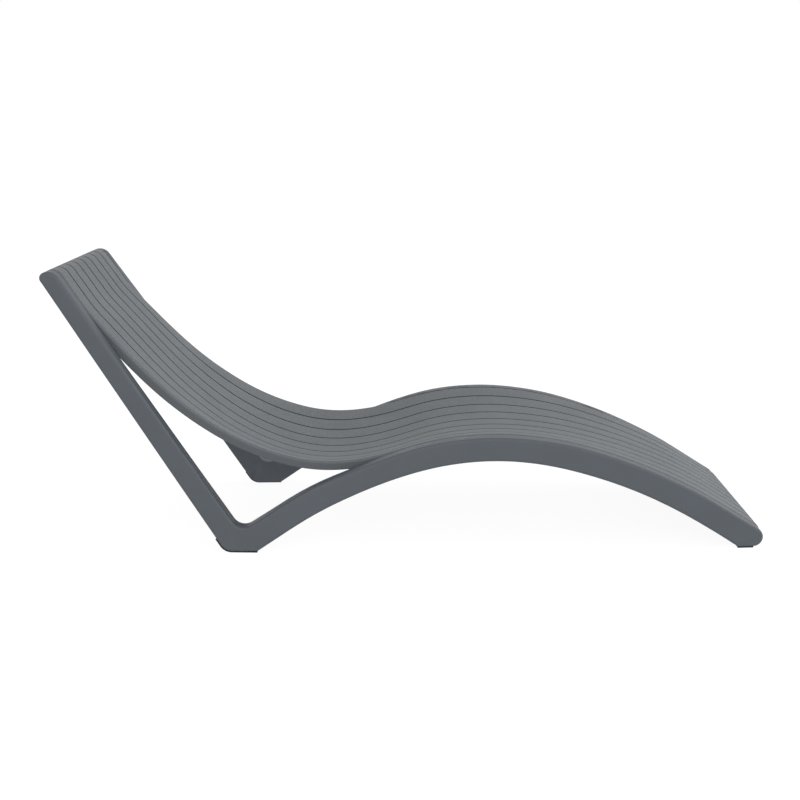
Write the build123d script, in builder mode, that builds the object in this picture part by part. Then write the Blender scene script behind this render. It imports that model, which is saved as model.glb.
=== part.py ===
"""Contour sun lounger: two bent side frames, a dished deck of eight slats on cross rails, soles and fasteners.

X runs from the head end to the toe end, Y across, Z up from the floor. Millimetres.
"""

import os
from math import atan2, cos, degrees, radians, sin, sqrt

from build123d import *

# Plan shape: both outer faces are shallow cones, bowed in plan and leaning out towards the floor.
half_width = 302.8
bow_centre_x = -73.2
bow_radius = 10693.0
lean_slope = 0.03428
lean_level = 700.0
slab_sweep = 12.0
slab_top = 760.0

# Side frame
frame_thickness = 36.0
frame_round = 7.0
groove = 4.0
sole_thickness = 3.0
sole_rise = 20.0
crown = (-880.0, 673.0)
crown_radius = 31.0
head_corner_angle = 117.0
head_corner_radius = 14.0
nose_toe = (875.5, 27.0)
nose_toe_radius = 24.0
heel_corner = (-446.5, 36.0)
heel_radius = 33.0
heel_flat_end = -382.5
toe_flat_start = 835.5
crotch_height = 54.0
crotch_radius = 33.0
strut_top_angle = 56.0
merge_point = (15.5, 269.0)
merge_slope = 0.29
toe_slope = -0.625
under_curve = [
    (-324.5, 42.5),
    (-244.5, 94.5),
    (-144.5, 146.5),
    (-42.5, 188.5),
    (75.5, 222.0),
    (210.5, 236.0),
    (335.5, 225.0),
    (455.5, 195.0),
    (575.5, 150.5),
    (685.5, 96.0),
    (765.5, 48.5),
]
arm_curve = [(-74.5, 238.5), (-162.5, 203.5), (-239.5, 169.0), (-294.5, 138.0), (-360.5, 95.0)]
hump_curve = [
    (75.5, 283.5),
    (145.5, 293.0),
    (210.5, 296.0),
    (295.5, 291.5),
    (395.5, 275.5),
    (515.5, 240.5),
    (635.5, 192.0),
    (725.5, 147.0),
]
hump_end_x = 795.5

# Deck
slat_count = 8
slat_thickness = 12.0
slat_round = 2.0
deck_round = 8.0
deck_rise = 2.0
skirt_depth = 24.0
skirt_thickness = 9.0
least_share = 0.08
bisections = 40
head_line_length = 86.0
dip_curve = [
    (-769.5, 574.5),
    (-686.5, 484.5),
    (-604.5, 405.5),
    (-520.5, 341.0),
    (-434.5, 289.5),
    (-348.5, 253.5),
    (-264.5, 232.0),
    (-172.5, 228.0),
    (-74.5, 243.5),
]
toe_wrap = 85.0
dish_points = [
    (-764.5, 0.0),
    (-664.5, 4.5),
    (-564.5, 14.0),
    (-454.5, 25.0),
    (-349.5, 33.0),
    (-239.5, 36.0),
    (-84.5, 34.5),
    (85.5, 31.0),
    (245.5, 28.5),
    (355.5, 25.5),
    (480.5, 19.0),
    (565.5, 13.0),
    (645.5, 8.0),
    (728.5, 3.0),
    (795.5, 0.0),
]

# Cross rails
rail_places = [
    ("head_rail", -828.5, True),
    ("upper_back_rail", -691.5, False),
    ("mid_back_rail", -531.5, False),
    ("seat_rail", -341.5, False),
    ("thigh_rail", -131.5, False),
    ("knee_rail", 108.5, True),
    ("calf_rail", 358.5, True),
    ("shin_rail", 598.5, True),
    ("toe_rail", 843.5, True),
]
rail_width = 50.0
hung_rail_depth = 10.0
tied_rail_depth = 16.0
rail_play = 0.5
notch_play = 0.5
pocket_play = 0.2
tongue_depth = 18.0
tongue_bolt_inset = 10.0

# Fasteners
screw_diameter = 4.5
screw_bite = 8.0
screw_head_diameter = 9.0
screw_head_height = 2.5
bolt_diameter = 5.0
bolt_head_diameter = 10.0
bolt_head_height = 4.0
bolt_land = 8.0
bolt_tip_cover = 4.0
bore_play = 0.2
peg_diameter = 8.0
peg_length = 12.0
sole_inset = 4.0
overrun = 60.0

os.makedirs("parts", exist_ok=True)


def half_width_at(x, z):
    """Distance from the middle plane to a side frame's outer face."""
    radius = bow_radius + lean_slope * (lean_level - z)
    return sqrt(radius**2 - (x - bow_centre_x) ** 2) - (bow_radius - half_width)


def blend(points, x):
    """Smooth curve through a table of (x, value) pairs."""
    if x <= points[0][0]:
        return points[0][1]
    if x >= points[-1][0]:
        return points[-1][1]
    slopes = [0.0]
    for (x0, v0), (x2, v2) in zip(points, points[2:]):
        slopes.append((v2 - v0) / (x2 - x0))
    slopes.append(0.0)
    for (x0, v0), (x1, v1), m0, m1 in zip(points, points[1:], slopes, slopes[1:]):
        if x <= x1:
            span = x1 - x0
            t = (x - x0) / span
            rise = v1 - v0
            return v0 + t * t * (3 - 2 * t) * rise + t * (1 - t) * span * ((1 - t) * m0 - t * m1)
    return points[-1][1]


# Side frame outline, made of tangent pieces that start at the head's back corner and run clockwise.
strut_dir = (cos(radians(strut_top_angle)), -sin(radians(strut_top_angle)))
strut_normal = (-strut_dir[1], strut_dir[0])
head_top = (crown[0] + crown_radius * strut_normal[0], crown[1] + crown_radius * strut_normal[1])
strut_length = (head_top[1] - crotch_height) / -strut_dir[1]
crotch = (head_top[0] + strut_length * strut_dir[0], crotch_height)
toe_dir = (1 / sqrt(1 + toe_slope**2), toe_slope / sqrt(1 + toe_slope**2))
toe_normal = (-toe_dir[1], toe_dir[0])
toe_top = (
    nose_toe[0] + nose_toe_radius * toe_normal[0],
    nose_toe[1] + nose_toe_radius * toe_normal[1],
)
hump_end = (hump_end_x, toe_top[1] + toe_slope * (hump_end_x - toe_top[0]))


def around(centre, radius, angle):
    """Point on a circle at an angle in degrees."""
    return (centre[0] + radius * cos(radians(angle)), centre[1] + radius * sin(radians(angle)))


def angle_of(vector):
    """Angle of a direction in degrees."""
    return degrees(atan2(vector[1], vector[0]))


side_plane = Plane.XZ
head_corner = around(crown, crown_radius - head_corner_radius, head_corner_angle)
centre_run = (heel_corner[0] - head_corner[0], heel_corner[1] - head_corner[1])
centre_span = sqrt(centre_run[0] ** 2 + centre_run[1] ** 2)
radius_rise = (heel_radius - head_corner_radius) / centre_span
run_angle = atan2(centre_run[1], centre_run[0]) - atan2(radius_rise, sqrt(1 - radius_rise**2))
lower_dir = (cos(run_angle), sin(run_angle))
lower_normal = (lower_dir[1], -lower_dir[0])
back_angle = angle_of(lower_normal) + 360
crown_end = around(crown, crown_radius, head_corner_angle)
crown_mid = around(crown, crown_radius, (angle_of(strut_normal) + head_corner_angle) / 2)
back_mid = around(head_corner, head_corner_radius, (head_corner_angle + back_angle) / 2)
head_low = around(head_corner, head_corner_radius, back_angle)
heel_start = around(heel_corner, heel_radius, back_angle)
heel_mid = around(heel_corner, heel_radius, (angle_of(lower_normal) - 90) / 2)
heel_bottom = (heel_corner[0], heel_corner[1] - heel_radius)
heel_end = (heel_flat_end, heel_bottom[1])
toe_bottom = (nose_toe[0], nose_toe[1] - nose_toe_radius)
toe_start = (toe_flat_start, toe_bottom[1])
toe_mid = around(nose_toe, nose_toe_radius, (angle_of(toe_normal) - 90) / 2)
merge_dir = (1 / sqrt(1 + merge_slope**2), merge_slope / sqrt(1 + merge_slope**2))
arm_dir = (arm_curve[-1][0] - crotch[0], arm_curve[-1][1] - crotch[1])

with BuildSketch(side_plane) as outline:
    with BuildLine():
        ThreePointArc(head_low, back_mid, crown_end)
        ThreePointArc(crown_end, crown_mid, head_top)
        Line(head_top, crotch)
        Spline(crotch, *reversed(arm_curve), merge_point, tangents=[arm_dir, merge_dir])
        Spline(merge_point, *hump_curve, hump_end, tangents=[merge_dir, toe_dir])
        Line(hump_end, toe_top)
        ThreePointArc(toe_top, toe_mid, toe_bottom)
        Line(toe_bottom, toe_start)
        Spline(toe_start, *reversed(under_curve), heel_end)
        Line(heel_end, heel_bottom)
        ThreePointArc(heel_bottom, heel_mid, heel_start)
        Line(heel_start, head_low)
    make_face()
    fillet(outline.vertices().sort_by_distance((*crotch, 0))[0], crotch_radius)

# Conical slab that the right-hand frame and its soles are cut to.
bow_axis = Axis((bow_centre_x, bow_radius - half_width, 0), (0, 0, 1))
start_angle = radians(-90 - slab_sweep / 2)
slab_plane = Plane(
    origin=(bow_centre_x, bow_radius - half_width, 0),
    x_dir=(cos(start_angle), sin(start_angle), 0),
    z_dir=(sin(start_angle), -cos(start_angle), 0),
)
foot_radius = bow_radius + lean_slope * lean_level
top_radius = bow_radius + lean_slope * (lean_level - slab_top)


def conical_slab(inset):
    """Slab between a side frame's two faces, drawn in from each of them."""
    with BuildPart() as slab:
        with BuildSketch(slab_plane):
            Polygon(
                (foot_radius - inset, 0),
                (top_radius - inset, slab_top),
                (top_radius - frame_thickness + inset, slab_top),
                (foot_radius - frame_thickness + inset, 0),
                align=None,
            )
        revolve(axis=bow_axis, revolution_arc=slab_sweep)
    return slab.part


with BuildPart() as frame_blank:
    extrude(outline.sketch, amount=half_width + overrun, both=True)
    add(conical_slab(0), mode=Mode.INTERSECT)
    broad = frame_blank.faces().sort_by(SortBy.AREA)[-2:].sort_by(Axis.Y)
    fillet(broad[0].edges(), frame_round)

# Path that the deck's edges follow, level with the tops of the side frames: from the head's back corner to
# under the toe nose.
head_wrap = head_corner_angle - angle_of(strut_normal)
with BuildLine(side_plane) as head_arc:
    CenterArc(crown, crown_radius, head_corner_angle, -head_wrap)
with BuildLine(side_plane) as head_line:
    head_line_end = (
        head_top[0] + head_line_length * strut_dir[0],
        head_top[1] + head_line_length * strut_dir[1],
    )
    Line(head_top, head_line_end)
with BuildLine(side_plane) as dip:
    Spline(head_line_end, *dip_curve, merge_point, tangents=[strut_dir, merge_dir])
with BuildLine(side_plane) as hump:
    Spline(merge_point, *hump_curve, hump_end, tangents=[merge_dir, toe_dir])
with BuildLine(side_plane) as toe_line:
    Line(hump_end, toe_top)
with BuildLine(side_plane) as toe_arc:
    CenterArc(nose_toe, nose_toe_radius, angle_of(toe_normal), -toe_wrap)
# Each piece of the path, the spans of the slats along it, and how deep the skirt is at its start and end.
pieces = [
    (head_arc.line.edges()[0], 9, (least_share, least_share)),
    (head_line.line.edges()[0], 4, (least_share, 1.0)),
    (dip.line.edges()[0], 30, (1.0, 1.0)),
    (hump.line.edges()[0], 24, (1.0, 1.0)),
    (toe_line.line.edges()[0], 4, (1.0, least_share)),
    (toe_arc.line.edges()[0], 6, (least_share, least_share)),
]


def section_plane(edge, share):
    """Plane across the deck at a share of one piece of the path: its Y axis points out of the deck."""
    point = edge.position_at(share)
    return Plane(origin=point, x_dir=(0, 1, 0), z_dir=edge.tangent_at(share))


stations = []
for edge, spans, (first, last) in pieces:
    for step in range(spans):
        share = step / spans
        stations.append((section_plane(edge, share), first + (last - first) * share))
stations.append((section_plane(pieces[-1][0], 1.0), least_share))


def deck_half(plane):
    """Half width of the deck, to the middle of the groove beside the side frame."""
    return half_width_at(plane.origin.X, plane.origin.Z) - frame_thickness - groove / 2


def dish(plane, across):
    """How far the deck's top lies below the path, at a share of the half width: its edges stand proud."""
    return blend(dish_points, plane.origin.X) * (1 - across**2) - deck_rise


def lane(plane, index):
    """Both sides of one slat's lane and the drops of its top there, groove included."""
    half = deck_half(plane)
    shares = [2 * (index + side) / slat_count - 1 for side in (0, 1)]
    return [share * half for share in shares], [dish(plane, share) for share in shares]


def slat_section(plane, index, skirt):
    """Outline of one slat, with a skirt on the outer edge of the two outer slats."""
    ends, drops = lane(plane, index)
    slope = (drops[1] - drops[0]) / (ends[1] - ends[0])
    depth = slat_thickness + skirt * (skirt_depth - slat_thickness)

    def at(across, below):
        return (across, -(drops[0] + slope * (across - ends[0])) - below)

    low, high = ends[0] + groove / 2, ends[1] - groove / 2
    points = [at(low, 0), at(high, 0)]
    if index == slat_count - 1:
        points += [at(high, depth), at(high - skirt_thickness, depth)]
        points += [at(high - skirt_thickness, slat_thickness)]
    else:
        points += [at(high, slat_thickness)]
    if index == 0:
        points += [at(low + skirt_thickness, slat_thickness)]
        points += [at(low + skirt_thickness, depth), at(low, depth)]
    else:
        points += [at(low, slat_thickness)]
    return points


def rail_section(plane, depth, reach, top):
    """Outline of a cross rail under the slats, ending a distance past or short of the deck's edges."""
    half = deck_half(plane)
    shares = [2 * index / slat_count - 1 for index in range(1, slat_count)]
    bed = [(share * half, dish(plane, share)) for share in shares]
    edge = dish(plane, 1)
    if reach > 0:
        bed = [(-half - reach, edge), (-half, edge), *bed, (half, edge), (half + reach, edge)]
    else:
        end = edge - (dish(plane, shares[-1]) - edge) / (half - bed[-1][0]) * reach
        bed = [(-half - reach, end), *bed, (half + reach, end)]
    upper = [(across, -drop - top) for across, drop in bed]
    lower = [(across, -drop - slat_thickness - depth) for across, drop in bed]
    return upper + lower[::-1]


def plane_at(x):
    """Section plane where the path passes a given X, clear of both noses."""
    for edge, spans, skirts in pieces[1:-1]:
        low, high = 0.0, 1.0
        if edge.position_at(low).X <= x <= edge.position_at(high).X:
            for step in range(bisections):
                middle = (low + high) / 2
                if edge.position_at(middle).X < x:
                    low = middle
                else:
                    high = middle
            return section_plane(edge, low)
    return None


def rail_solid(x, width, depth, reach, top):
    """Cross rail, or the notch for one, that follows the underside of the slats."""
    run = plane_at(x).z_dir.X * width / 2
    with BuildPart() as solid:
        for place in (x - run, x, x + run):
            plane = plane_at(place)
            with BuildSketch(plane):
                Polygon(*rail_section(plane, depth, reach, top), align=None)
        loft(ruled=True)
    return solid.part


def screw_planes(x, depth):
    """Planes on a rail's underside, one below each slat and facing it."""
    middle = plane_at(x)
    planes = []
    for index in range(slat_count):
        ends, drops = lane(middle, index)
        tilt = atan2(drops[1] - drops[0], ends[1] - ends[0])
        across = (ends[0] + ends[1]) / 2
        below = (drops[0] + drops[1]) / 2 + slat_thickness + depth
        origin = middle.from_local_coords((across, -below, 0))
        above = middle.from_local_coords((across + sin(tilt), cos(tilt) - below, 0))
        planes.append(Plane(origin=origin, z_dir=above - origin))
    return planes


def bolt_planes(x):
    """Planes under a rail's two tongues, where the bolt heads bear, facing the tongues."""
    middle = plane_at(x)
    across = deck_half(middle) + groove / 2 + tongue_depth - tongue_bolt_inset
    below = dish(middle, 1) + slat_thickness + tied_rail_depth + bolt_land
    origins = [middle.from_local_coords((side * across, -below, 0)) for side in (-1, 1)]
    return [Plane(origin=origin, x_dir=(0, 1, 0), z_dir=middle.y_dir) for origin in origins]


# Slats, lofted along the path with their top edges rounded, the deck's two outer edges more than the rest.
slats = []
for index in range(slat_count):
    radii = (deck_round if index == 0 else slat_round, deck_round if index == slat_count - 1 else slat_round)
    with BuildPart() as slat:
        for plane, skirt in stations:
            with BuildSketch(plane) as profile:
                corners = slat_section(plane, index, skirt)
                Polygon(*corners, align=None)
                for corner, radius in zip(corners, radii):
                    fillet(profile.vertices().sort_by_distance((*corner, 0))[0], radius)
        loft(ruled=True)
    slats.append(slat.part)

# Notches in the skirts, where the tied rails pass through to the side frames.
tied_reach = groove / 2 + tongue_depth
slat_cuts = [[] for slat in slats]
for name, x, tied in rail_places:
    if tied:
        width = rail_width + 2 * notch_play
        notch = rail_solid(x, width, tied_rail_depth + overrun, tied_reach, slat_thickness - notch_play)
        slat_cuts[0].append(notch)
        slat_cuts[-1].append(notch)

# Rails, just clear of the slats' undersides: the hung ones stop at the skirts, the tied ones end in tongues.
hung_reach = -groove / 2 - skirt_thickness - rail_play
rails = {}
pockets = []
for name, x, tied in rail_places:
    depth = tied_rail_depth if tied else hung_rail_depth
    reach = tied_reach if tied else hung_reach
    top = slat_thickness + rail_play
    rails[name] = rail_solid(x, rail_width, depth, reach, top)
    if tied:
        width = rail_width + 2 * pocket_play
        reach = tied_reach + pocket_play
        pockets.append(rail_solid(x, width, depth + pocket_play, reach, top - pocket_play))


def screw_shape(plane, depth, play, below):
    """Slat screw that stands on a plane, or with play and a run-out below the hole for one."""
    with BuildPart() as shape:
        with BuildSketch(plane.offset(-below)):
            Circle(screw_head_diameter / 2 + play)
        extrude(amount=below + screw_head_height + play)
        with BuildSketch(plane):
            Circle(screw_diameter / 2 + play)
        extrude(amount=depth + screw_bite + play)
    return shape.part


def bolt_shape(plane, play, below):
    """Frame bolt whose head bears on a plane, or with play and a run-out below the bore for one."""
    with BuildPart() as shape:
        with BuildSketch(plane):
            Circle(bolt_head_diameter / 2 + play)
        extrude(amount=-bolt_head_height - below)
        with BuildSketch(plane):
            Circle(bolt_diameter / 2 + play)
        extrude(amount=bolt_land + tied_rail_depth - bolt_tip_cover + play)
    return shape.part


# Slat screws, driven up through the rails with their heads sunk, and bolts through the tongues of the tied rails.
screws = []
bolts = []
frame_cuts = list(pockets)
for name, x, tied in rail_places:
    depth = tied_rail_depth if tied else hung_rail_depth
    rail_cuts = []
    for index, plane in enumerate(screw_planes(x, depth)):
        screws.append(screw_shape(plane, depth, 0, 0))
        hole = screw_shape(plane, depth, bore_play, overrun)
        rail_cuts.append(hole)
        slat_cuts[index].append(hole)
    if tied:
        bolts += [bolt_shape(plane, 0, 0) for plane in bolt_planes(x)]
        bores = [bolt_shape(plane, bore_play, overrun) for plane in bolt_planes(x)]
        rail_cuts += bores
        frame_cuts.append(bores[0])
    with BuildPart() as drilled:
        add(rails[name])
        add(rail_cuts, mode=Mode.SUBTRACT)
    rails[name] = drilled.part

# Soles, each with a peg that plugs into the side frame.
heel_sole_mid = around(heel_corner, heel_radius + sole_thickness, (angle_of(lower_normal) - 90) / 2)
heel_sole_top = (heel_start[0] - sole_rise * lower_dir[0], heel_start[1] - sole_rise * lower_dir[1])


def outwards(point, normal):
    """Point moved off the side frame by the thickness of a sole."""
    return (point[0] + sole_thickness * normal[0], point[1] + sole_thickness * normal[1])


down = (0, -1)
with BuildSketch(side_plane) as heel_sole_outline:
    with BuildLine():
        Line(heel_sole_top, heel_start)
        ThreePointArc(heel_start, heel_mid, heel_bottom)
        Line(heel_bottom, heel_end)
        Line(heel_end, outwards(heel_end, down))
        Line(outwards(heel_end, down), outwards(heel_bottom, down))
        ThreePointArc(outwards(heel_bottom, down), heel_sole_mid, outwards(heel_start, lower_normal))
        Line(outwards(heel_start, lower_normal), outwards(heel_sole_top, lower_normal))
        Line(outwards(heel_sole_top, lower_normal), heel_sole_top)
    make_face()
with BuildSketch(side_plane) as toe_sole_outline:
    Polygon(toe_start, toe_bottom, outwards(toe_bottom, down), outwards(toe_start, down), align=None)


def peg_plane(ends):
    """Floor plane under the peg of a right-hand sole, halfway along its flat."""
    x = (ends[0][0] + ends[1][0]) / 2
    return Plane(origin=(x, frame_thickness / 2 - half_width_at(x, 0), 0))


sole_flats = {"heel_sole": (heel_bottom, heel_end), "toe_sole": (toe_start, toe_bottom)}
sole_outlines = {"heel_sole": heel_sole_outline, "toe_sole": toe_sole_outline}
soles = {}
for name, ends in sole_flats.items():
    with BuildPart() as sole:
        extrude(sole_outlines[name].sketch, amount=half_width + overrun, both=True)
        add(conical_slab(sole_inset), mode=Mode.INTERSECT)
        with BuildSketch(peg_plane(ends)):
            Circle(peg_diameter / 2)
        extrude(amount=sole_thickness + peg_length)
    soles[name] = sole.part

# Right-hand side frame, with pockets for the tongues, bored for the bolts and drilled for the pegs.
with BuildPart() as side_frame:
    add(frame_blank.part)
    add(frame_cuts, mode=Mode.SUBTRACT)
    for ends in sole_flats.values():
        with BuildSketch(peg_plane(ends)):
            Circle(peg_diameter / 2 + bore_play)
        extrude(amount=sole_thickness + peg_length + bore_play, mode=Mode.SUBTRACT)


def write(part, name):
    """Label a finished piece and write its file."""
    part.label = name
    export_step(part, f"parts/{name}.step")


def write_pair(part, name):
    """Write a right-hand piece and its mirror image."""
    write(part, f"{name}_right")
    write(mirror(part, about=Plane.XZ), f"{name}_left")


for index, slat in enumerate(slats):
    with BuildPart() as finished:
        add(slat)
        add(slat_cuts[index], mode=Mode.SUBTRACT)
    write(finished.part, f"slat_{index + 1}")
for name, rail in rails.items():
    write(rail, name)
write(Compound(children=screws), "slat_screws")
write(Compound(children=bolts), "frame_bolts")
for name, sole in soles.items():
    write_pair(sole, name)
write_pair(side_frame.part, "side_frame")
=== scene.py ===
"""Contour sun lounger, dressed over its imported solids. Metres, X from head to toe, Z up from the floor."""

import math

import bmesh
import bpy
import numpy as np
from mathutils import Matrix, Vector


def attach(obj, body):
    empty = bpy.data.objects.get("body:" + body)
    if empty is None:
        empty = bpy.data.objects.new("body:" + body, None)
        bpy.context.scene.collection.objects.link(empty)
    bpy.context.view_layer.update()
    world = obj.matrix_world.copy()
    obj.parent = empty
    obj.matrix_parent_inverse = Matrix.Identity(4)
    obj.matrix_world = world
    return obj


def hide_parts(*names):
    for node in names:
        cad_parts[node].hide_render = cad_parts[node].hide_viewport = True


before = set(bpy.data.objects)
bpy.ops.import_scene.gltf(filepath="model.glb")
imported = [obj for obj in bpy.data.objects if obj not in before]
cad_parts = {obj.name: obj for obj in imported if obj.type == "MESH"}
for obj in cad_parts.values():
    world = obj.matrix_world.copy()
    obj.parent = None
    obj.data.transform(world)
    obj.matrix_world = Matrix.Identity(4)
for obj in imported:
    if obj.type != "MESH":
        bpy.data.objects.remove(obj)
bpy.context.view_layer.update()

# Side frames: one moulded member on each side, from the head nose down the back strut, round the heel and
# over the knees to the toe. The plastic is smooth and satin, with the faint mottle that moulding leaves, and
# the broad outer and inner faces run softly into rounded edges.
FRAME_TONES = ((0.085, 0.097, 0.112), (0.090, 0.103, 0.119))
FRAME_GRAIN, FRAME_MOTTLE = 0.0007, 0.09
FRAME_ROUGHNESS, FRAME_RELIEF = 0.5, 0.04
GRAIN_DETAIL, MOTTLE_DETAIL, MOTTLE_SHARE = 3.0, 2.0, 0.5
TONE_STOPS, ROUGHNESS_SPREAD, SHEEN_LEVEL = (0.38, 0.62), 0.05, 0.4
WELD, CREASE, BROAD_WEIGHT = 1e-6, math.radians(35), 90


def add_node(tree, kind, **values):
    """New node with its properties and its unlinked inputs set by name."""
    node = tree.nodes.new(kind)
    for name, value in values.items():
        if name in node.inputs:
            node.inputs[name].default_value = value
        else:
            setattr(node, name, value)
    return node


def moulded_grain():
    """Shader group: fine grain and broad mottle, each from 0 to 1, at sizes in metres."""
    group = bpy.data.node_groups.new("Moulded grain", "ShaderNodeTree")
    for name in ("Grain size", "Mottle size"):
        group.interface.new_socket(name, in_out="INPUT", socket_type="NodeSocketFloat")
    for name in ("Grain", "Mottle"):
        group.interface.new_socket(name, in_out="OUTPUT", socket_type="NodeSocketFloat")
    entry = group.nodes.new("NodeGroupInput")
    leave = group.nodes.new("NodeGroupOutput")
    place = group.nodes.new("ShaderNodeTexCoord")
    for name, detail in (("Grain", GRAIN_DETAIL), ("Mottle", MOTTLE_DETAIL)):
        scale = add_node(group, "ShaderNodeMath", operation="DIVIDE")
        scale.inputs[0].default_value = 1.0
        group.links.new(entry.outputs[f"{name} size"], scale.inputs[1])
        noise = add_node(group, "ShaderNodeTexNoise", Detail=detail)
        group.links.new(place.outputs["Object"], noise.inputs["Vector"])
        group.links.new(scale.outputs[0], noise.inputs["Scale"])
        group.links.new(noise.outputs["Fac"], leave.inputs[name])
    return group


grain = moulded_grain()


def speckled(name, tones, grain_size, mottle_size, mottle_share, roughness, relief):
    """Material whose tone follows the mottle and the grain, and its roughness and relief the grain alone."""
    material = bpy.data.materials.new(name)
    material.use_nodes = True
    tree = material.node_tree
    surface = tree.nodes["Principled BSDF"]
    surface.inputs["Specular IOR Level"].default_value = SHEEN_LEVEL
    pattern = add_node(tree, "ShaderNodeGroup", node_tree=grain)
    pattern.inputs["Grain size"].default_value = grain_size
    pattern.inputs["Mottle size"].default_value = mottle_size
    both = add_node(tree, "ShaderNodeMix", data_type="FLOAT")
    both.inputs["Factor"].default_value = mottle_share
    tree.links.new(pattern.outputs["Grain"], both.inputs["A"])
    tree.links.new(pattern.outputs["Mottle"], both.inputs["B"])
    tone = add_node(tree, "ShaderNodeValToRGB")
    tree.links.new(both.outputs["Result"], tone.inputs["Fac"])
    for stop, place, colour in zip(tone.color_ramp.elements, TONE_STOPS, tones):
        stop.position = place
        stop.color = (*colour, 1.0)
    tree.links.new(tone.outputs["Color"], surface.inputs["Base Color"])
    span = {"To Min": roughness - ROUGHNESS_SPREAD, "To Max": roughness + ROUGHNESS_SPREAD}
    rough = add_node(tree, "ShaderNodeMapRange", **span)
    tree.links.new(pattern.outputs["Grain"], rough.inputs["Value"])
    tree.links.new(rough.outputs["Result"], surface.inputs["Roughness"])
    bump = add_node(tree, "ShaderNodeBump", Strength=relief, Distance=grain_size)
    tree.links.new(pattern.outputs["Grain"], bump.inputs["Height"])
    tree.links.new(bump.outputs["Normal"], surface.inputs["Normal"])
    return material


def add_piece(name, mesh):
    """New object for a mesh, at the origin."""
    piece = bpy.data.objects.new(name, mesh)
    bpy.context.scene.collection.objects.link(piece)
    return piece


def settle(piece):
    """Turn a piece's modifiers into plain mesh and remove them."""
    graph = bpy.context.evaluated_depsgraph_get()
    shaped = piece.evaluated_get(graph)
    mesh = bpy.data.meshes.new_from_object(shaped, preserve_all_data_layers=True, depsgraph=graph)
    mesh.name = piece.name
    piece.modifiers.clear()
    piece.data = mesh


def weigh_normals(piece):
    """Smooth shading that leaves broad faces flat, with creases kept at sharp edges."""
    piece.data.shade_smooth()
    piece.data.set_sharp_from_angle(angle=CREASE)
    weights = piece.modifiers.new("Broad faces lead", "WEIGHTED_NORMAL")
    weights.keep_sharp = True
    weights.weight = BROAD_WEIGHT


def welded_copy(name, node, material):
    """Merged and smoothed copy of a node's mesh, which then stands for the node."""
    shell = bmesh.new()
    shell.from_mesh(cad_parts[node].data)
    bmesh.ops.remove_doubles(shell, verts=shell.verts, dist=WELD)
    bmesh.ops.dissolve_degenerate(shell, dist=WELD, edges=shell.edges)
    mesh = bpy.data.meshes.new(name)
    shell.to_mesh(mesh)
    shell.free()
    mesh.materials.clear()
    mesh.materials.append(material)
    piece = add_piece(name, mesh)
    weigh_normals(piece)
    settle(piece)
    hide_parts(node)
    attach(piece, "root")
    return piece


frame_plastic = speckled(
    "Satin frame plastic",
    FRAME_TONES,
    FRAME_GRAIN,
    FRAME_MOTTLE,
    MOTTLE_SHARE,
    FRAME_ROUGHNESS,
    FRAME_RELIEF,
)
for side in ("left", "right"):
    welded_copy(f"frame_moulding_{side}", f"side_frame_{side}", frame_plastic)

# Cross rails: plain moulded bars under the deck. The hung ones stop at the skirts, and the tied ones end in
# tongues that enter pockets in the side frames.
RAIL_TONES = ((0.055, 0.061, 0.072), (0.066, 0.072, 0.083))
RAIL_GRAIN, RAIL_ROUGHNESS, RAIL_RELIEF = 0.0012, 0.62, 0.12
HUNG_DEPTH, TIED_DEPTH, RAIL_WIDTH = 0.010, 0.016, 0.050
TIED_RAILS = {
    "head_rail": -0.8285,
    "knee_rail": 0.1085,
    "calf_rail": 0.3585,
    "shin_rail": 0.5985,
    "toe_rail": 0.8435,
}
HUNG_RAILS = {
    "upper_back_rail": -0.6915,
    "mid_back_rail": -0.5315,
    "seat_rail": -0.3415,
    "thigh_rail": -0.1315,
}
rail_plastic = speckled(
    "Matt rail plastic",
    RAIL_TONES,
    RAIL_GRAIN,
    FRAME_MOTTLE,
    MOTTLE_SHARE,
    RAIL_ROUGHNESS,
    RAIL_RELIEF,
)


def dress(node, material):
    """Give a carried-over node its one material."""
    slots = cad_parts[node].data.materials
    slots.clear()
    slots.append(material)


for node in (*TIED_RAILS, *HUNG_RAILS):
    dress(node, rail_plastic)

# Deck slats: eight lengthwise strips, moulded with a dry speckled grain on top. They wrap over both noses and
# dish between the side frames, and the two outer ones turn down in a narrow skirt that is notched where the
# tied rails pass through. Each strip is swept along one line, level with the tops of the side frames.
SLAT_TONES = ((0.101, 0.113, 0.121), (0.177, 0.195, 0.208))
# Flank colour: the smooth flank's own plainer tone, partly painted shade where it turns from the top light.
# Groove colour: painted shade on the walls in the gaps.
FLANK_TONE_AND_SHADE, GROOVE_SHADE_COLOUR = (0.094, 0.104, 0.114, 1.0), (0.035, 0.039, 0.042, 1.0)
SLAT_GRAIN, SLAT_MOTTLE, SLAT_MOTTLE_SHARE = 0.003, 0.12, 0.15
SLAT_ROUGHNESS, SLAT_RELIEF = 0.55, 0.2
HALF_WIDTH, FRAME_THICKNESS, GROOVE, FRAME_GROOVE = 0.3028, 0.036, 0.005, 0.004
BOW_CENTRE, BOW_RADIUS, LEAN, LEAN_LEVEL = -0.0732, 10.693, 0.03428, 0.700
CROWN, CROWN_RADIUS, CORNER_ANGLE = (-0.8800, 0.673), 0.031, math.radians(117)
CORNER_RADIUS, CORNER_WRAP = 0.014, math.radians(50)
TOE_NOSE, TOE_RADIUS, TOE_WRAP, TOE_SLOPE = (0.8755, 0.027), 0.024, math.radians(85), -0.625
STRUT_ANGLE, HEAD_LINE = math.radians(56), 0.086
MERGE, MERGE_SLOPE, HUMP_END = (0.0155, 0.269), 0.29, 0.7955
DIP = [
    (-0.7695, 0.5745),
    (-0.6865, 0.4845),
    (-0.6045, 0.4055),
    (-0.5205, 0.3410),
    (-0.4345, 0.2895),
    (-0.3485, 0.2535),
    (-0.2645, 0.2320),
    (-0.1725, 0.2280),
    (-0.0745, 0.2435),
]
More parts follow.
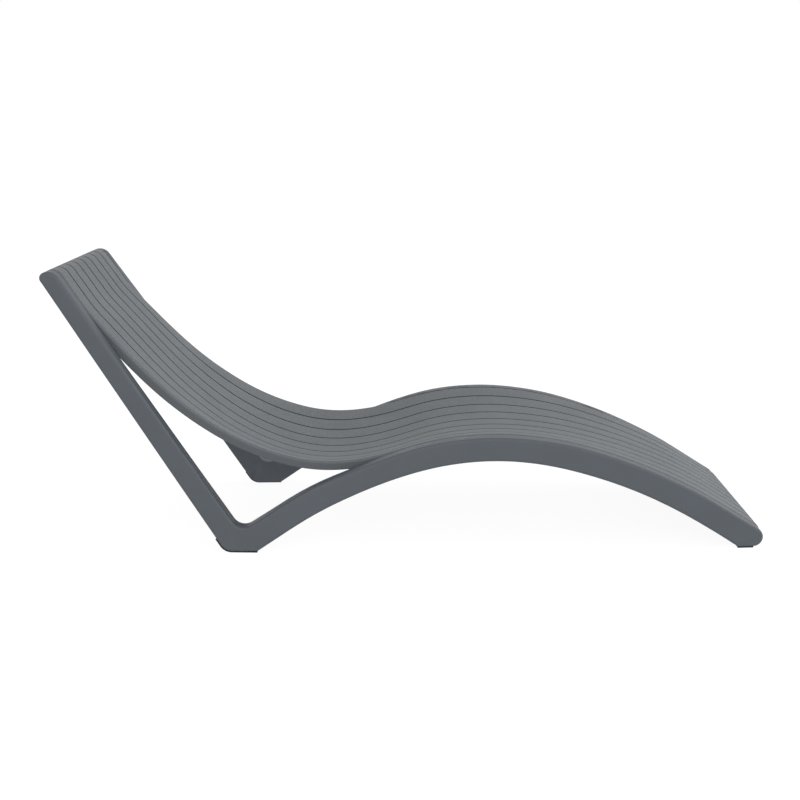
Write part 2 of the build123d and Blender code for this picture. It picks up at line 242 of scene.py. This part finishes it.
HUMP = [
    (0.0755, 0.2835),
    (0.1455, 0.2930),
    (0.2105, 0.2960),
    (0.2955, 0.2915),
    (0.3955, 0.2755),
    (0.5155, 0.2405),
    (0.6355, 0.1920),
    (0.7255, 0.1470),
]
DISH = [
    (-0.7645, 0.0),
    (-0.6645, 0.0045),
    (-0.5645, 0.0140),
    (-0.4545, 0.0250),
    (-0.3495, 0.0330),
    (-0.2395, 0.0360),
    (-0.0845, 0.0345),
    (0.0855, 0.0310),
    (0.2455, 0.0285),
    (0.3555, 0.0255),
    (0.4805, 0.0190),
    (0.5655, 0.0130),
    (0.6455, 0.0080),
    (0.7285, 0.0030),
    (0.7955, 0.0),
]
LANES, THICKNESS, DECK_RISE, RISE_START, RISE_FULL = 8, 0.012, 0.002, 0.010, 0.040
SLAT_ROUND, DECK_ROUND, UNDER_ROUND, ROUND_STEPS = 0.001, 0.008, 0.001, 6
SKIRT_DROP, SKIRT_THICKNESS, LEAST_DROP = 0.012, 0.009, 0.001
NOTCH_PLAY, NOTCH_DROP, NOTCH_EDGE = 0.0005, 0.0003, 0.0001
# How fast the painted shade comes in round an edge: toward the flank tone on skirts, toward the groove's
# painted shade in gaps.
FLANK_TURN, GROOVE_SHADE_RAMP = 0.5, 4.0
FINE_STEP, DECK_STEP, NOSE_STEP, NOSE_RUN = 0.0005, 0.007, 0.0025, 0.06


def clamped_spline(points, start, end):
    """Finely sampled smooth curve through points, with set directions at its two ends."""
    knots = np.array(points)
    chords = np.linalg.norm(np.diff(knots, axis=0), axis=1)
    places = np.concatenate(([0.0], np.cumsum(chords)))
    system = np.eye(len(knots))
    slopes = np.zeros_like(knots)
    slopes[0], slopes[-1] = start, end
    for k in range(1, len(knots) - 1):
        before, after = chords[k - 1], chords[k]
        system[k, k - 1 : k + 2] = after, 2 * (before + after), before
        rise = after / before * (knots[k] - knots[k - 1]) + before / after * (knots[k + 1] - knots[k])
        slopes[k] = 3 * rise
    slopes = np.linalg.solve(system, slopes)
    samples = np.linspace(0.0, places[-1], int(places[-1] / FINE_STEP) + 2)
    k = np.clip(np.searchsorted(places, samples, side="right") - 1, 0, len(chords) - 1)
    span = chords[k][:, None]
    t = (samples - places[k])[:, None] / span
    value = (1 + 2 * t) * (1 - t) ** 2 * knots[k] + t**2 * (3 - 2 * t) * knots[k + 1]
    return value + span * t * (1 - t) * ((1 - t) * slopes[k] - t * slopes[k + 1])


def nose_arc(centre, radius, start, sweep):
    """Finely sampled arc that runs clockwise."""
    angles = np.linspace(start, start - sweep, int(radius * sweep / FINE_STEP) + 2)
    return np.array(centre) + radius * np.stack([np.cos(angles), np.sin(angles)], axis=1)


strut_dir = np.array([math.cos(STRUT_ANGLE), -math.sin(STRUT_ANGLE)])
toe_dir = np.array([1.0, TOE_SLOPE]) / math.hypot(1.0, TOE_SLOPE)
merge_dir = np.array([1.0, MERGE_SLOPE]) / math.hypot(1.0, MERGE_SLOPE)
crown_angle = math.pi / 2 - STRUT_ANGLE
toe_angle = math.pi / 2 + math.atan(TOE_SLOPE)
corner_reach = CROWN_RADIUS - CORNER_RADIUS
corner = (CROWN[0] + corner_reach * math.cos(CORNER_ANGLE), CROWN[1] + corner_reach * math.sin(CORNER_ANGLE))
corner_arc = nose_arc(corner, CORNER_RADIUS, CORNER_ANGLE + CORNER_WRAP, CORNER_WRAP)
crown_arc = nose_arc(CROWN, CROWN_RADIUS, CORNER_ANGLE, CORNER_ANGLE - crown_angle)
head_arc = np.concatenate([corner_arc, crown_arc[1:]])
toe_arc = nose_arc(TOE_NOSE, TOE_RADIUS, toe_angle, TOE_WRAP)
dip_start = head_arc[-1] + HEAD_LINE * strut_dir
hump_end = (HUMP_END, toe_arc[0][1] + TOE_SLOPE * (HUMP_END - toe_arc[0][0]))
dip = clamped_spline([dip_start, *DIP, MERGE], strut_dir, merge_dir)
hump = clamped_spline([MERGE, *HUMP, hump_end], merge_dir, toe_dir)
line = np.concatenate([head_arc, dip, hump[1:-1], toe_arc])
travel = np.concatenate(([0.0], np.cumsum(np.linalg.norm(np.diff(line, axis=0), axis=1))))


def along(places):
    """Points of the deck's line at distances along it, and the directions out of the deck there."""
    spots, ahead, behind = [
        np.stack([np.interp(np.add(places, step), travel, line[:, k]) for k in (0, 1)], axis=1)
        for step in (0.0, FINE_STEP, -FINE_STEP)
    ]
    run = ahead - behind
    run /= np.linalg.norm(run, axis=1)[:, None]
    return spots, np.stack([-run[:, 1], run[:, 0]], axis=1)


def place_at(x):
    """Distance along the deck's line where it passes an X between the noses."""
    nose_end, toe_start = len(head_arc) - 1, len(line) - len(toe_arc) + 1
    return float(np.interp(x, line[nose_end:toe_start, 0], travel[nose_end:toe_start]))


def half_deck(spot):
    """Half width of the deck at a point of its line, to the middle of the groove beside the frame."""
    radius = BOW_RADIUS + LEAN * (LEAN_LEVEL - spot[1])
    outside = math.sqrt(radius**2 - (spot[0] - BOW_CENTRE) ** 2) - (BOW_RADIUS - HALF_WIDTH)
    return outside - FRAME_THICKNESS - FRAME_GROOVE / 2


def dish_at(x):
    """Depth of the dish in the middle of the deck: a smooth curve through its table, flat at both ends."""
    if not DISH[0][0] < x < DISH[-1][0]:
        return 0.0
    k = next(k for k in range(1, len(DISH)) if x <= DISH[k][0])
    slopes = [0.0] * len(DISH)
    for j in range(1, len(DISH) - 1):
        slopes[j] = (DISH[j + 1][1] - DISH[j - 1][1]) / (DISH[j + 1][0] - DISH[j - 1][0])
    (x0, depth0), (x1, depth1) = DISH[k - 1], DISH[k]
    span = x1 - x0
    t = (x - x0) / span
    bend = t * (1 - t) * span * ((1 - t) * slopes[k - 1] - t * slopes[k])
    return depth0 + t * t * (3 - 2 * t) * (depth1 - depth0) + bend


def skirt_drop(place):
    """How far the skirt hangs below the strip: least on the noses, and only a lip in each notch."""
    head_end, head_full = place_at(head_arc[-1][0]), place_at(dip_start[0])
    toe_full, toe_end = place_at(HUMP_END), travel[len(line) - len(toe_arc)]
    depths = [LEAST_DROP, SKIRT_DROP, SKIRT_DROP, LEAST_DROP]
    depth = np.interp(place, [head_end, head_full, toe_full, toe_end], depths)
    in_notch = any(abs(place - middle) < notch_half + NOTCH_EDGE / 2 for middle in notch_middles)
    return NOTCH_DROP if in_notch else float(depth)


def rise_at(place):
    """How far the strips stand proud of the side frames: they run out flush at both ends."""
    end = travel[-1]
    turns = [RISE_START, RISE_FULL, end - RISE_START, end]
    return float(np.interp(place, turns, [0.0, DECK_RISE, DECK_RISE, 0.0]))


notch_half = RAIL_WIDTH / 2 + NOTCH_PLAY
notch_middles = [place_at(x) for x in TIED_RAILS.values()]
deck_places = list(np.arange(NOSE_RUN, travel[-1] - NOSE_RUN, DECK_STEP))
nose_places = np.arange(0.0, NOSE_RUN, NOSE_STEP)
deck_places += [*nose_places, *(travel[-1] - nose_places)]
for middle in notch_middles:
    for edge in (-notch_half, notch_half):
        deck_places += [middle + edge, middle + edge + math.copysign(NOTCH_EDGE, edge)]
deck_places.sort()
spots, outs = along(deck_places)


def store(mesh, name, kind, values):
    """Add a named attribute to the points of a mesh."""
    attribute = mesh.attributes.new(name, kind, "POINT")
    attribute.data.foreach_set("vector" if kind == "FLOAT_VECTOR" else "value", np.ravel(values))


deck_line = bpy.data.meshes.new("deck_line")
deck_points = [(x, 0.0, z) for x, z in spots]
deck_line.from_pydata(deck_points, [(k, k + 1) for k in range(len(deck_points) - 1)], [])
store(deck_line, "spot", "FLOAT_VECTOR", deck_points)
store(deck_line, "out", "FLOAT_VECTOR", [(x, 0.0, z) for x, z in outs])
store(deck_line, "half", "FLOAT", [half_deck(spot) for spot in spots])
store(deck_line, "dish", "FLOAT", [dish_at(spot[0]) for spot in spots])
store(deck_line, "skirt", "FLOAT", [skirt_drop(place) for place in deck_places])
store(deck_line, "rise", "FLOAT", [rise_at(place) for place in deck_places])


def strip_profile(name, low_skirt, high_skirt):
    """Closed section of a strip: each point is set in from one side, sunk below the top, and may hang."""
    points = []
    for side, skirt, start in ((0, low_skirt, math.pi), (1, high_skirt, math.pi / 2)):
        radius = DECK_ROUND if skirt else SLAT_ROUND
        for step in range(ROUND_STEPS + 1):
            angle = start - math.pi / 2 * step / ROUND_STEPS
            turn = math.cos(angle) if side else -math.cos(angle)
            # turned: how far an edge point is painted from the grained top tone toward the flank tone or the
            # groove's painted shade as it turns from the light.
            turned = min(1.0, (1 - math.sin(angle)) * (FLANK_TURN if skirt else GROOVE_SHADE_RAMP))
            points.append((side, radius - radius * turn, radius - radius * math.sin(angle), 0, turned))
    for side, skirt in ((1, high_skirt), (0, low_skirt)):
        hang, turned = (1, FLANK_TURN) if skirt else (0, 1.0)
        bends = [(0.0, THICKNESS - UNDER_ROUND, hang), (UNDER_ROUND, THICKNESS, hang)]
        if skirt:
            bends += [(SKIRT_THICKNESS, THICKNESS, 1), (SKIRT_THICKNESS, THICKNESS, 0)]
        run = [(side, inset, below, hung, turned) for inset, below, hung in bends]
        points += run if side else run[::-1]
    mesh = bpy.data.meshes.new(name)
    loop = [(k, (k + 1) % len(points)) for k in range(len(points))]
    mesh.from_pydata([(point[1], -point[2], 0.0) for point in points], loop, [])
    for column, key in enumerate(("side", "inset", "below", "hang", "turned")):
        store(mesh, key, "FLOAT", [point[column] for point in points])
    return add_piece(name, mesh)


def strip_tree():
    """Geometry nodes: sweep a section along the deck's line, then lay it into one lane of the dished deck."""
    tree = bpy.data.node_groups.new("Deck strip", "GeometryNodeTree")
    tree.interface.new_socket("Geometry", in_out="INPUT", socket_type="NodeSocketGeometry")
    tree.interface.new_socket("Section", in_out="INPUT", socket_type="NodeSocketObject")
    for name in ("Lane", "Lanes", "Groove"):
        tree.interface.new_socket(name, in_out="INPUT", socket_type="NodeSocketFloat")
    tree.interface.new_socket("Material", in_out="INPUT", socket_type="NodeSocketMaterial")
    tree.interface.new_socket("Geometry", in_out="OUTPUT", socket_type="NodeSocketGeometry")
    entry, leave = tree.nodes.new("NodeGroupInput"), tree.nodes.new("NodeGroupOutput")

    def join(source, target):
        tree.links.new(source, target)

    def value_of(operation, *terms):
        node = add_node(tree, "ShaderNodeMath", operation=operation)
        for socket, term in zip(node.inputs, terms):
            if isinstance(term, (int, float)):
                socket.default_value = term
            else:
                join(term, socket)
        return node.outputs[0]

    def stored(name, kind="FLOAT"):
        node = add_node(tree, "GeometryNodeInputNamedAttribute", data_type=kind, Name=name)
        return node.outputs["Attribute"]

    line_curve = add_node(tree, "GeometryNodeMeshToCurve")
    join(entry.outputs["Geometry"], line_curve.inputs["Mesh"])
    section = add_node(tree, "GeometryNodeObjectInfo")
    join(entry.outputs["Section"], section.inputs["Object"])
    section_curve = add_node(tree, "GeometryNodeMeshToCurve")
    join(section.outputs["Geometry"], section_curve.inputs["Mesh"])
    sweep = add_node(tree, "GeometryNodeCurveToMesh", **{"Fill Caps": True})
    join(line_curve.outputs["Curve"], sweep.inputs["Curve"])
    join(section_curve.outputs["Curve"], sweep.inputs["Profile Curve"])

    edges, drops = [], []
    for offset in (0, 1):
        lane = value_of("ADD", entry.outputs["Lane"], offset)
        twice = value_of("DIVIDE", value_of("MULTIPLY", lane, 2), entry.outputs["Lanes"])
        share = value_of("SUBTRACT", twice, 1)
        edges.append(value_of("MULTIPLY", stored("half"), share))
        bend = value_of("SUBTRACT", 1, value_of("MULTIPLY", share, share))
        bowl = value_of("MULTIPLY", stored("dish"), bend)
        drops.append(value_of("SUBTRACT", bowl, stored("rise")))
    inset = value_of("ADD", stored("inset"), value_of("DIVIDE", entry.outputs["Groove"], 2))
    from_low = value_of("ADD", edges[0], inset)
    from_high = value_of("SUBTRACT", edges[1], inset)
    breadth = value_of("SUBTRACT", from_high, from_low)
    across = value_of("ADD", from_low, value_of("MULTIPLY", stored("side"), breadth))
    fall = value_of("SUBTRACT", drops[1], drops[0])
    slope = value_of("DIVIDE", fall, value_of("SUBTRACT", edges[1], edges[0]))
    inside = value_of("SUBTRACT", across, edges[0])
    drop = value_of("ADD", drops[0], value_of("MULTIPLY", slope, inside))
    hung = value_of("MULTIPLY", stored("hang"), stored("skirt"))
    sunk = value_of("ADD", drop, value_of("ADD", stored("below"), hung))

    inward = add_node(tree, "ShaderNodeVectorMath", operation="SCALE")
    join(stored("out", "FLOAT_VECTOR"), inward.inputs[0])
    join(value_of("MULTIPLY", sunk, -1), inward.inputs["Scale"])
    sideways = add_node(tree, "ShaderNodeCombineXYZ")
    join(across, sideways.inputs["Y"])
    offset_by = add_node(tree, "ShaderNodeVectorMath", operation="ADD")
    join(inward.outputs["Vector"], offset_by.inputs[0])
    join(sideways.outputs["Vector"], offset_by.inputs[1])
    spot = add_node(tree, "ShaderNodeVectorMath", operation="ADD")
    join(stored("spot", "FLOAT_VECTOR"), spot.inputs[0])
    join(offset_by.outputs["Vector"], spot.inputs[1])
    lay = add_node(tree, "GeometryNodeSetPosition")
    join(sweep.outputs["Mesh"], lay.inputs["Geometry"])
    join(spot.outputs["Vector"], lay.inputs["Position"])
    real = add_node(tree, "GeometryNodeRealizeInstances")
    join(lay.outputs["Geometry"], real.inputs["Geometry"])
    paint = add_node(tree, "GeometryNodeSetMaterial")
    join(real.outputs["Geometry"], paint.inputs["Geometry"])
    join(entry.outputs["Material"], paint.inputs["Material"])
    join(paint.outputs["Geometry"], leave.inputs["Geometry"])
    return tree


def run_tree(piece, tree, values):
    """Run a geometry tree on a piece with named inputs and keep its result as plain mesh."""
    modifier = piece.modifiers.new(tree.name, "NODES")
    modifier.node_group = tree
    for socket in tree.interface.items_tree:
        if socket.in_out == "INPUT" and socket.name in values:
            modifier[socket.identifier] = values[socket.name]
    settle(piece)


def close_up(piece):
    """Join a made piece's caps to its walls and point its faces outwards."""
    shell = bmesh.new()
    shell.from_mesh(piece.data)
    bmesh.ops.remove_doubles(shell, verts=shell.verts, dist=WELD)
    bmesh.ops.recalc_face_normals(shell, faces=shell.faces)
    shell.to_mesh(piece.data)
    shell.free()


def turn_down(material):
    """Where a strip turns down, its grained top gives way to a plainer flank tone, partly its own colour and
    partly painted shade, and in a gap to painted dark shade.
    """
    tree = material.node_tree
    colour_in = tree.nodes["Principled BSDF"].inputs["Base Color"]
    colour = colour_in.links[0].from_socket
    turned = add_node(tree, "ShaderNodeAttribute", attribute_name="turned")
    for start, end, darker in ((0.0, FLANK_TURN, FLANK_TONE_AND_SHADE), (FLANK_TURN, 1.0, GROOVE_SHADE_COLOUR)):
        part = add_node(tree, "ShaderNodeMapRange", **{"From Min": start, "From Max": end})
        tree.links.new(turned.outputs["Fac"], part.inputs["Value"])
        mix = add_node(tree, "ShaderNodeMix", data_type="RGBA")
        tree.links.new(part.outputs["Result"], mix.inputs["Factor"])
        mix_a, mix_b = [socket for socket in mix.inputs if socket.type == "RGBA"]
        tree.links.new(colour, mix_a)
        mix_b.default_value = darker
        colour = next(socket for socket in mix.outputs if socket.type == "RGBA")
    tree.links.new(colour, colour_in)


slat_plastic = speckled(
    "Grained slat plastic",
    SLAT_TONES,
    SLAT_GRAIN,
    SLAT_MOTTLE,
    SLAT_MOTTLE_SHARE,
    SLAT_ROUGHNESS,
    SLAT_RELIEF,
)
turn_down(slat_plastic)
strips = strip_tree()
sections = {
    "first": strip_profile("first_section", True, False),
    "inner": strip_profile("inner_section", False, False),
    "last": strip_profile("last_section", False, True),
}
for lane in range(LANES):
    kind = "first" if lane == 0 else "last" if lane == LANES - 1 else "inner"
    strip = add_piece(f"deck_strip_{lane + 1}", deck_line.copy())
    sizes = {"Section": sections[kind], "Lane": float(lane), "Lanes": float(LANES), "Groove": GROOVE}
    run_tree(strip, strips, {**sizes, "Material": slat_plastic})
    close_up(strip)
    weigh_normals(strip)
    settle(strip)
    for name in [attribute.name for attribute in strip.data.attributes]:
        if name in ("spot", "out", "half", "dish", "skirt", "rise", "side", "inset", "below", "hang"):
            strip.data.attributes.remove(strip.data.attributes[name])
    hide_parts(f"slat_{lane + 1}")
    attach(strip, "root")
for section in sections.values():
    bpy.data.objects.remove(section)

# Soles: a thin black rubber pad under each heel and each toe. The heel's pad wraps up round the bend behind
# it, and each pad is moulded with a peg that plugs into a hole in its side frame.
SOLE_TONES = ((0.012, 0.012, 0.013), (0.020, 0.020, 0.022))
SOLE_GRAIN, SOLE_MOTTLE, SOLE_ROUGHNESS, SOLE_RELIEF = 0.001, 0.02, 0.75, 0.3
rubber = speckled(
    "Sole rubber", SOLE_TONES, SOLE_GRAIN, SOLE_MOTTLE, MOTTLE_SHARE, SOLE_ROUGHNESS, SOLE_RELIEF
)
for place in ("heel", "toe"):
    for side in ("left", "right"):
        dress(f"{place}_sole_{side}", rubber)

# Screws and bolts: plain stainless steel, driven from below, with sunk heads and a hexagon socket in each.
# A screw goes up through each rail into every slat, longer where the rail is thicker, and a bolt goes up
# through each tongue of the tied rails inside its side frame.
STEEL_TONES = ((0.50, 0.50, 0.51), (0.60, 0.60, 0.61))
STEEL_GRAIN, STEEL_MOTTLE, STEEL_ROUGHNESS, STEEL_RELIEF = 0.0004, 0.004, 0.36, 0.05
SCREW_HEAD, SCREW_HEAD_HEIGHT, SCREW_SHANK, SCREW_BITE = 0.0045, 0.0025, 0.00225, 0.008
BOLT_HEAD, BOLT_HEAD_HEIGHT, BOLT_SHANK, BOLT_LAND, BOLT_COVER = 0.005, 0.004, 0.0025, 0.008, 0.004
BOLT_PLACE = 0.008
SOCKET_SHARE, SOCKET_DEPTH, PIN_BEVEL, PIN_SIDES = 0.45, 0.0015, 0.0003, 24
steel = speckled(
    "Stainless steel",
    STEEL_TONES,
    STEEL_GRAIN,
    STEEL_MOTTLE,
    MOTTLE_SHARE,
    STEEL_ROUGHNESS,
    STEEL_RELIEF,
)
steel.node_tree.nodes["Principled BSDF"].inputs["Metallic"].default_value = 1.0


def pin(name, head, low, high, shank, tip):
    """Fastener that stands along Z: a head with a socket in its underside, and a shank with a movable tip."""
    socket = head * SOCKET_SHARE
    rings = [(socket, low + SOCKET_DEPTH), (socket, low), (head - PIN_BEVEL, low), (head, low + PIN_BEVEL)]
    rings += [(head, high), (shank, high), (shank, tip - PIN_BEVEL), (shank - PIN_BEVEL, tip)]
    points = []
    for radius, height in rings:
        for k in range(PIN_SIDES):
            angle = 2 * math.pi * k / PIN_SIDES
            flat = math.cos(angle % (math.pi / 3) - math.pi / 6) if radius == socket else 1.0
            points.append((radius / flat * math.cos(angle), radius / flat * math.sin(angle), height))
    faces = [tuple(range(PIN_SIDES))[::-1], tuple(range(len(points) - PIN_SIDES, len(points)))]
    for first in range(0, len(points) - PIN_SIDES, PIN_SIDES):
        for k in range(PIN_SIDES):
            beside = (k + 1) % PIN_SIDES
            faces.append((first + k, first + beside, first + PIN_SIDES + beside, first + PIN_SIDES + k))
    mesh = bpy.data.meshes.new(name)
    mesh.from_pydata(points, [], faces)
    store(mesh, "tip", "FLOAT", [float(k >= len(points) - 2 * PIN_SIDES) for k in range(len(points))])
    return add_piece(name, mesh)


def fastener_tree():
    """Geometry nodes: one fastener on every point, turned to lean with it and lengthened where it must be."""
    tree = bpy.data.node_groups.new("Fasteners", "GeometryNodeTree")
    tree.interface.new_socket("Geometry", in_out="INPUT", socket_type="NodeSocketGeometry")
    tree.interface.new_socket("Fastener", in_out="INPUT", socket_type="NodeSocketObject")
    tree.interface.new_socket("Material", in_out="INPUT", socket_type="NodeSocketMaterial")
    tree.interface.new_socket("Geometry", in_out="OUTPUT", socket_type="NodeSocketGeometry")
    entry, leave = tree.nodes.new("NodeGroupInput"), tree.nodes.new("NodeGroupOutput")
    lean, longer, tip = [
        add_node(tree, "GeometryNodeInputNamedAttribute", data_type=kind, Name=name).outputs["Attribute"]
        for name, kind in (("lean", "FLOAT_VECTOR"), ("longer", "FLOAT"), ("tip", "FLOAT"))
    ]
    one = add_node(tree, "GeometryNodeObjectInfo")
    tree.links.new(entry.outputs["Fastener"], one.inputs["Object"])
    turn = add_node(tree, "FunctionNodeAlignRotationToVector", axis="Z")
    tree.links.new(lean, turn.inputs["Vector"])
    spread = add_node(tree, "GeometryNodeInstanceOnPoints")
    tree.links.new(entry.outputs["Geometry"], spread.inputs["Points"])
    tree.links.new(one.outputs["Geometry"], spread.inputs["Instance"])
    tree.links.new(turn.outputs["Rotation"], spread.inputs["Rotation"])
    real = add_node(tree, "GeometryNodeRealizeInstances")
    tree.links.new(spread.outputs["Instances"], real.inputs["Geometry"])
    share = add_node(tree, "ShaderNodeMath", operation="MULTIPLY")
    tree.links.new(longer, share.inputs[0])
    tree.links.new(tip, share.inputs[1])
    reach = add_node(tree, "ShaderNodeVectorMath", operation="SCALE")
    tree.links.new(lean, reach.inputs[0])
    tree.links.new(share.outputs[0], reach.inputs["Scale"])
    lengthen = add_node(tree, "GeometryNodeSetPosition")
    tree.links.new(real.outputs["Geometry"], lengthen.inputs["Geometry"])
    tree.links.new(reach.outputs["Vector"], lengthen.inputs["Offset"])
    paint = add_node(tree, "GeometryNodeSetMaterial")
    tree.links.new(lengthen.outputs["Geometry"], paint.inputs["Geometry"])
    tree.links.new(entry.outputs["Material"], paint.inputs["Material"])
    tree.links.new(paint.outputs["Geometry"], leave.inputs["Geometry"])
    return tree


def place_fasteners(name, node, tree, one, places):
    """Set of fasteners that stands for a node, from the point, the lean and the added length of each."""
    mesh = bpy.data.meshes.new(name)
    mesh.from_pydata([place[0] for place in places], [], [])
    store(mesh, "lean", "FLOAT_VECTOR", [place[1] for place in places])
    store(mesh, "longer", "FLOAT", [place[2] for place in places])
    group = add_piece(name, mesh)
    run_tree(group, tree, {"Fastener": one, "Material": steel})
    close_up(group)
    weigh_normals(group)
    settle(group)
    for attribute in ("lean", "longer", "tip"):
        group.data.attributes.remove(group.data.attributes[attribute])
    bpy.data.objects.remove(one)
    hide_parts(node)
    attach(group, "root")


screw_places, bolt_places = [], []
for rails, depth in ((HUNG_RAILS, HUNG_DEPTH), (TIED_RAILS, TIED_DEPTH)):
    for x in rails.values():
        (spot,), (out,) = along([place_at(x)])
        spot, out = spot.tolist(), out.tolist()
        half, dish = half_deck(spot), dish_at(spot[0])
        middle, lift = Vector((spot[0], 0.0, spot[1])), Vector((out[0], 0.0, out[1]))
        for lane in range(LANES):
            shares = [2 * (lane + side) / LANES - 1 for side in (0, 1)]
            drops = [dish * (1 - share**2) - DECK_RISE for share in shares]
            tilt = math.atan2(drops[1] - drops[0], half * (shares[1] - shares[0]))
            below = sum(drops) / 2 + THICKNESS + depth
            seat = middle + Vector((0.0, half * sum(shares) / 2, 0.0)) - below * lift
            lean = math.cos(tilt) * lift + Vector((0.0, math.sin(tilt), 0.0))
            screw_places.append((seat, lean, depth - HUNG_DEPTH))
        if rails is TIED_RAILS:
            across = half + FRAME_GROOVE / 2 + BOLT_PLACE
            below = THICKNESS - DECK_RISE + depth + BOLT_LAND
            for side in (-1, 1):
                bolt_places.append((middle + Vector((0.0, side * across, 0.0)) - below * lift, lift, 0.0))
fasteners = fastener_tree()
screw = pin("screw", SCREW_HEAD, 0.0, SCREW_HEAD_HEIGHT, SCREW_SHANK, HUNG_DEPTH + SCREW_BITE)
bolt = pin("bolt", BOLT_HEAD, -BOLT_HEAD_HEIGHT, 0.0, BOLT_SHANK, BOLT_LAND + TIED_DEPTH - BOLT_COVER)
place_fasteners("slat_screw_set", "slat_screws", fasteners, screw, screw_places)
place_fasteners("frame_bolt_set", "frame_bolts", fasteners, bolt, bolt_places)

# Studio: a pale floor that keeps the shadow, a white surround for the eye and for reflections, and two broad
# soft lamps, one low beyond the toes and one behind the camera: strength, spread in degrees and aim of each.
FLOOR_SIZE, FLOOR_COLOUR, FLOOR_GLOW, FLOOR_FILL = 400.0, 0.18, 0.93, 0.4
SURROUND = 0.43
LAMPS = {"Toe lamp": (1.15, 75, (-0.9, 0.1, -0.42)), "Front lamp": (1.3, 60, (0.05, 1.0, -0.28))}
floor_mesh = bpy.data.meshes.new("studio_floor")
half = FLOOR_SIZE / 2
corners = [(-half, -half, 0), (half, -half, 0), (half, half, 0), (-half, half, 0)]
floor_mesh.from_pydata(corners, [], [(0, 1, 2, 3)])
floor = add_piece("studio_floor", floor_mesh)


def seen_directly(tree):
    """Mask that is 1 for the camera and for reflections and refractions, and 0 for the light itself."""
    path = add_node(tree, "ShaderNodeLightPath")
    mask = path.outputs["Is Camera Ray"]
    for ray in ("Is Glossy Ray", "Is Transmission Ray"):
        either = add_node(tree, "ShaderNodeMath", operation="MAXIMUM")
        tree.links.new(mask, either.inputs[0])
        tree.links.new(path.outputs[ray], either.inputs[1])
        mask = either.outputs[0]
    return mask


floor_paint = bpy.data.materials.new("Studio floor")
floor_paint.use_nodes = True
floor_surface = floor_paint.node_tree.nodes["Principled BSDF"]
floor_surface.inputs["Base Color"].default_value = (FLOOR_COLOUR, FLOOR_COLOUR, FLOOR_COLOUR, 1.0)
floor_surface.inputs["Roughness"].default_value = 1.0
floor_surface.inputs["Specular IOR Level"].default_value = 0.0
floor_surface.inputs["Emission Color"].default_value = (1.0, 1.0, 1.0, 1.0)
glow = add_node(floor_paint.node_tree, "ShaderNodeMapRange", **{"To Min": FLOOR_FILL, "To Max": FLOOR_GLOW})
floor_paint.node_tree.links.new(seen_directly(floor_paint.node_tree), glow.inputs["Value"])
floor_paint.node_tree.links.new(glow.outputs["Result"], floor_surface.inputs["Emission Strength"])
floor_mesh.materials.append(floor_paint)

world = bpy.data.worlds.new("Studio")
bpy.context.scene.world = world
world.use_nodes = True
sky = world.node_tree.nodes["Background"]
sky.inputs["Color"].default_value = (1.0, 1.0, 1.0, 1.0)
level = add_node(world.node_tree, "ShaderNodeMapRange", **{"To Min": SURROUND, "To Max": 1.0})
world.node_tree.links.new(seen_directly(world.node_tree), level.inputs["Value"])
world.node_tree.links.new(level.outputs["Result"], sky.inputs["Strength"])

for name, (strength, spread, aim) in LAMPS.items():
    lamp = bpy.data.lights.new(name, "SUN")
    lamp.energy = strength
    lamp.angle = math.radians(spread)
    lamp_object = bpy.data.objects.new(name, lamp)
    lamp_object.rotation_euler = Vector(aim).to_track_quat("-Z", "Y").to_euler()
    bpy.context.scene.collection.objects.link(lamp_object)

# Camera: stands level with the middle of the near side, a little above the lounger, as the photo was taken.
EYE = Vector((-0.00439, -3.27963, 1.08440))
PITCH, YAW, ROLL = math.radians(13.1095), math.radians(-0.3414), math.radians(-0.1335)
LENS = 55.931
ahead = Vector((math.sin(YAW) * math.cos(PITCH), math.cos(YAW) * math.cos(PITCH), -math.sin(PITCH)))
level_right = Vector((math.cos(YAW), -math.sin(YAW), 0.0))
level_up = level_right.cross(ahead)
right = math.cos(ROLL) * level_right + math.sin(ROLL) * level_up
up = -math.sin(ROLL) * level_right + math.cos(ROLL) * level_up
camera = bpy.data.objects.new("Camera", bpy.data.cameras.new("Camera"))
camera.data.lens = LENS
turn = Matrix((right, up, -ahead)).transposed().to_4x4()
camera.matrix_world = Matrix.Translation(EYE) @ turn
bpy.context.scene.collection.objects.link(camera)
bpy.context.scene.camera = camera
bpy.context.scene.view_settings.view_transform = "Standard"
